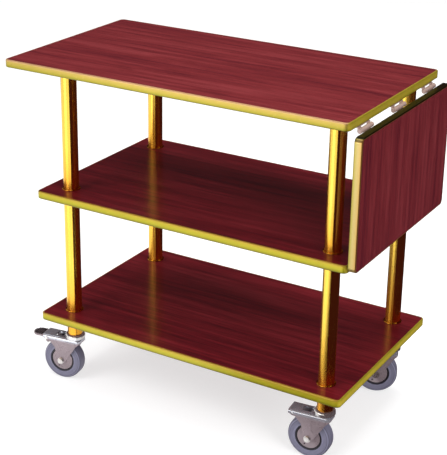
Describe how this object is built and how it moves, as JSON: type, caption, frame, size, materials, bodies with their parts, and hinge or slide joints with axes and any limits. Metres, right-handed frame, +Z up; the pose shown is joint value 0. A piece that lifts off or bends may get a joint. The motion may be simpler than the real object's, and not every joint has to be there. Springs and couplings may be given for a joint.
{
  "type": "room service table",
  "caption": "Hotel room service table with a dark wood-grain top and two shelves, gold tube legs, swivel casters and a drop leaf at one end.",
  "frame": {"origin": "on the floor, under the middle of the table's overall length and width with the leaf hanging", "axes": "+X towards the end with the drop leaf, +Y towards the back, +Z up"},
  "size_m": [0.93, 0.49, 0.835],
  "materials": {
    "wood": "glossy dark red-brown wood grain",
    "edging": "glossy gold edge band",
    "gold_tube": "polished gold",
    "steel": "zinc plated",
    "rubber": "matt grey rubber",
    "wheel_core": "moulded",
    "pedal": "dark satin"
  },
  "bodies": {
    "table": {"top_board": "wood", "top_edging": "edging", "middle_shelf": "wood", "middle_edging": "edging", "bottom_shelf": "wood", "bottom_edging": "edging", "front_left_upper_post": "gold_tube", "front_right_upper_post": "gold_tube", "rear_left_upper_post": "gold_tube", "rear_right_upper_post": "gold_tube", "front_left_lower_post": "gold_tube", "front_right_lower_post": "gold_tube", "rear_left_lower_post": "gold_tube", "rear_right_lower_post": "gold_tube", "stub_posts": "gold_tube", "post_rings": "gold_tube", "top_flanges": "gold_tube", "tie_rods": "steel", "stub_plugs": "steel", "front_left_caster_stem": "steel", "front_right_caster_stem": "steel", "rear_left_caster_stem": "steel", "rear_right_caster_stem": "steel", "swivel_balls": "steel", "hinge_plates": "steel", "hinge_pins": "steel", "support_guides": "steel", "underside_screws": "steel"},
    "leaf": {"drop_leaf": "wood", "leaf_edging": "edging", "leaf_hinge_plates": "steel", "leaf_screws": "steel"},
    "front_support": {"front_support_bar": "steel"},
    "rear_support": {"rear_support_bar": "steel"},
    "front_left_swivel": {"front_left_fork": "steel", "front_left_axle": "steel", "front_left_brake_pin": "steel"},
    "front_left_wheel": {"front_left_wheel_core": "wheel_core", "front_left_tyre": "rubber", "front_left_hub_guards": "steel"},
    "front_right_swivel": {"front_right_fork": "steel", "front_right_axle": "steel"},
    "front_right_wheel": {"front_right_wheel_core": "wheel_core", "front_right_tyre": "rubber", "front_right_hub_guards": "steel"},
    "rear_left_swivel": {"rear_left_fork": "steel", "rear_left_axle": "steel", "rear_left_brake_pin": "steel"},
    "rear_left_wheel": {"rear_left_wheel_core": "wheel_core", "rear_left_tyre": "rubber", "rear_left_hub_guards": "steel"},
    "rear_right_swivel": {"rear_right_fork": "steel", "rear_right_axle": "steel"},
    "rear_right_wheel": {"rear_right_wheel_core": "wheel_core", "rear_right_tyre": "rubber", "rear_right_hub_guards": "steel"},
    "front_left_brake": {"front_left_brake_pedal": "pedal"},
    "rear_left_brake": {"rear_left_brake_pedal": "pedal"}
  },
  "joints": [
    {"name": "leaf_hinge", "type": "hinge", "parent": "table", "child": "leaf", "pos_m": [0.438, 0, 0.808], "axis": [0, -1, 0], "range_deg": [0, 90]},
    {"name": "front_support_slide", "type": "slide", "parent": "table", "child": "front_support", "axis": [1, 0, 0], "range_m": [0, 0.21]},
    {"name": "rear_support_slide", "type": "slide", "parent": "table", "child": "rear_support", "axis": [1, 0, 0], "range_m": [0, 0.21]},
    {"name": "front_left_caster_swivel", "type": "hinge", "parent": "table", "child": "front_left_swivel", "pos_m": [-0.321, -0.185, 0.12], "axis": [0, 0, 1], "continuous": true},
    {"name": "front_left_wheel_spin", "type": "hinge", "parent": "front_left_swivel", "child": "front_left_wheel", "pos_m": [-0.35269, -0.18945, 0.0525], "axis": [-0.1392, 0.9903, 0], "continuous": true},
    {"name": "front_right_caster_swivel", "type": "hinge", "parent": "table", "child": "front_right_swivel", "pos_m": [0.383, -0.185, 0.12], "axis": [0, 0, 1], "continuous": true},
    {"name": "front_right_wheel_spin", "type": "hinge", "parent": "front_right_swivel", "child": "front_right_wheel", "pos_m": [0.35112, -0.18779, 0.0525], "axis": [-0.0872, 0.9962, 0], "continuous": true},
    {"name": "rear_left_caster_swivel", "type": "hinge", "parent": "table", "child": "rear_left_swivel", "pos_m": [-0.321, 0.185, 0.12], "axis": [0, 0, 1], "continuous": true},
    {"name": "rear_left_wheel_spin", "type": "hinge", "parent": "rear_left_swivel", "child": "rear_left_wheel", "pos_m": [-0.3523, 0.19165, 0.0525], "axis": [0.2079, 0.9781, 0], "continuous": true},
    {"name": "rear_right_caster_swivel", "type": "hinge", "parent": "table", "child": "rear_right_swivel", "pos_m": [0.383, 0.185, 0.12], "axis": [0, 0, 1], "continuous": true},
    {"name": "rear_right_wheel_spin", "type": "hinge", "parent": "rear_right_swivel", "child": "rear_right_wheel", "pos_m": [0.35333, 0.17301, 0.0525], "axis": [-0.3746, 0.9272, 0], "continuous": true},
    {"name": "front_left_brake_press", "type": "hinge", "parent": "front_left_swivel", "child": "front_left_brake", "pos_m": [-0.3923, -0.19502, 0.1095], "axis": [0.1392, -0.9903, 0], "range_deg": [0, 28]},
    {"name": "rear_left_brake_press", "type": "hinge", "parent": "rear_left_swivel", "child": "rear_left_brake", "pos_m": [-0.39143, 0.19997, 0.1095], "axis": [-0.2079, -0.9781, 0], "range_deg": [0, 28]}
  ]
}
